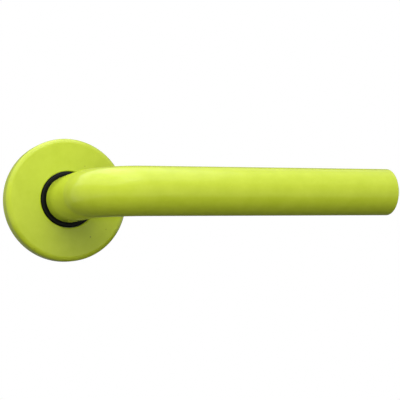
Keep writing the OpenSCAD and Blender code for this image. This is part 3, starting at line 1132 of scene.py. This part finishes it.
for lug in (upper_lug, lower_lug):
    fit(lug, zinc_plate, "rose", "locating_lugs")
for bolt in (upper_bolt, lower_bolt):
    fit(bolt, zinc_plate, "rose", "through_bolts")
for screw in screws:
    fit(screw, zinc_plate, "rose", "cassette_screws")
triangles = 0
for piece in bpy.context.scene.objects:
    if piece.type == "MESH" and "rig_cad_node" not in piece:
        piece.data.calc_loop_triangles()
        triangles += len(piece.data.loop_triangles)
print("triangles on the finished pieces:", triangles)

# %% [markdown]
# ## Floor, light and surroundings
#
# The handle is lit as in a bright room. Two wide soft lamps are the ceiling, and four
# small ones close by fill the front, which gives the lever's soft shadow on the rose.
# The small ones stay out of reflections, where they would show as hard streaks, and a
# skylight overhead shows in reflections only: it makes the pale band along the lever.
#
# The surroundings are white where the camera or a reflection looks at them, and dimmer
# as a light, so that the underside of the lever keeps its shade. White seen at a glance
# along a gloss edge would wash the outline out. A studio stands grey cards there, so a
# mid-grey card hangs behind the handle and a dark one below it. The camera doesn't see
# them, and they cast no shadow. The one behind shows in reflections only, so that the
# floor under it stays evenly lit. The floor is pale and plain, and keeps the shadow.

# %% Floor
FLOOR_GLOW = 0.3
FLOOR_CLOUD = 60
floor_down = 300
floor_r = 900
floor_edge_r = floor_r + 4
floor = turned("floor", [(floor_r, 0.0), (floor_edge_r, -2.0), (floor_edge_r, -10.0)], 64)
place_piece(floor, (0, 0, -floor_down), (-math.pi / 2, 0, 0))
floor_paint, floor_shader, floor_place = start_material(
    "matt_floor_paint", roughness=0.8, base="#EDEDEB"
)
floor_cloud = add_node(
    floor_paint,
    "ShaderNodeTexNoise",
    {},
    {"Vector": floor_place, "Scale": per_size(FLOOR_CLOUD), "Detail": 3},
)
floor_tone = add_node(floor_paint, "ShaderNodeValToRGB", {}, {"Fac": floor_cloud.outputs["Fac"]})
floor_tone.color_ramp.elements[0].color = linear("#EAEAE8")
floor_tone.color_ramp.elements[1].color = linear("#F1F1EF")
plug(floor_paint, floor_tone.outputs["Color"], floor_shader, "Base Color")
plug(floor_paint, floor_tone.outputs["Color"], floor_shader, "Emission Color")
floor_seen = add_node(floor_paint, "ShaderNodeLightPath", {}, {})
floor_glow = add_node(
    floor_paint,
    "ShaderNodeMath",
    {"operation": "MULTIPLY"},
    {0: floor_seen.outputs["Is Camera Ray"], 1: FLOOR_GLOW},
)
plug(floor_paint, floor_glow.outputs["Value"], floor_shader, "Emission Strength")
floor.data.materials.append(floor_paint)
mesh_summary(floor)

# %% Grey cards
UPRIGHT = (math.pi / 2, 0, 0)
LYING = (0, 0, 0)
behind_place = (60, 450, 130)
behind_half = (700, 380)
below_place = (40, 0, -200)
below_half = (450, 400)


def grey_card(name, paper, place, half_size, turn):
    """A matt card that neither the camera nor the shadows see, in millimetres."""
    clear_selection()
    bpy.ops.mesh.primitive_plane_add(size=2 * MM)
    card = bpy.context.object
    card.name = name
    card.scale = (*half_size, 1)
    place_piece(card, place, turn)
    card.data.materials.append(paper)
    card.visible_camera = False
    card.visible_shadow = False
    return card


dark_paper = start_material("matt_dark_card", roughness=0.9, base="#303030")[0]
mid_paper = start_material("matt_mid_grey_card", roughness=0.9, base="#8C8C8C")[0]
card_behind = grey_card("card_behind", mid_paper, behind_place, behind_half, UPRIGHT)
card_behind.visible_diffuse = False
card_below = grey_card("card_below", dark_paper, below_place, below_half, LYING)
print("grey cards:", card_behind.name, card_below.name)

# %% Surroundings
world = bpy.data.worlds.new("surroundings")
world.use_nodes = True
bpy.context.scene.world = world
AMBIENT_COLOUR = (0.3, 0.3, 0.3, 1.0)
SEEN_COLOUR = (1.0, 1.0, 1.0, 1.0)
ambient = world.node_tree.nodes["Background"]
ambient.inputs["Color"].default_value = AMBIENT_COLOUR
seen = add_node(world, "ShaderNodeBackground", {}, {"Color": SEEN_COLOUR})
light_path = add_node(world, "ShaderNodeLightPath", {}, {})
camera_or_glossy = add_node(
    world,
    "ShaderNodeMath",
    {"operation": "MAXIMUM"},
    {0: light_path.outputs["Is Camera Ray"], 1: light_path.outputs["Is Glossy Ray"]},
)
or_transmission = add_node(
    world,
    "ShaderNodeMath",
    {"operation": "MAXIMUM"},
    {0: camera_or_glossy.outputs["Value"], 1: light_path.outputs["Is Transmission Ray"]},
)
choose = add_node(
    world,
    "ShaderNodeMixShader",
    {},
    {0: or_transmission.outputs["Value"], 1: ambient.outputs[0], 2: seen.outputs[0]},
)
plug(world, choose.outputs[0], world.node_tree.nodes["World Output"], "Surface")
bpy.context.scene.view_settings.view_transform = "Standard"
print("the world as a light:", AMBIENT_COLOUR[0], "and as seen:", SEEN_COLOUR[0])

# %% Lamps
LAMP_AIM = Vector((50, -30, 0))
WIDE = (2400, 1400)
SKYLIGHT = (740, 1300)
SMALL = (300, 200)
FAR = 1000
ABOVE = 850
NEAR = 450


def soft_lamp(name, azimuth, elevation, size, distance, watts):
    """An area lamp that points at the handle, with its sizes in millimetres. An azimuth of
    0 is in front of the door."""
    lamp = bpy.data.lights.new(name, "AREA")
    lamp.shape = "RECTANGLE"
    lamp.size = size[0] * MM
    lamp.size_y = size[1] * MM
    lamp.energy = watts
    side = math.radians(azimuth)
    rise = math.radians(elevation)
    across = math.sin(side) * math.cos(rise)
    forward = math.cos(side) * math.cos(rise)
    away = Vector((across, -forward, math.sin(rise)))
    holder = bpy.data.objects.new(name, lamp)
    turn = (-away).to_track_quat("-Z", "Y").to_matrix().to_4x4()
    holder.matrix_world = Matrix.Translation((LAMP_AIM + away * distance) * MM) @ turn
    bpy.context.scene.collection.objects.link(holder)
    return holder


soft_lamp("ceiling_left", -90, 60, WIDE, FAR, 14.6)
soft_lamp("ceiling_front", 0, 65, WIDE, FAR, 5.1)
fills = [
    soft_lamp("fill_above", -20, 35, SMALL, NEAR, 0.55),
    soft_lamp("fill_front", 0, 10, SMALL, NEAR, 0.36),
    soft_lamp("fill_left", -60, -20, SMALL, NEAR, 0.27),
    soft_lamp("fill_below", 0, -20, SMALL, NEAR, 0.21),
]
for fill in fills:
    fill.visible_glossy = False
shine = soft_lamp("ceiling_shine", 0, 80, SKYLIGHT, ABOVE, 5.0)
shine.visible_diffuse = False
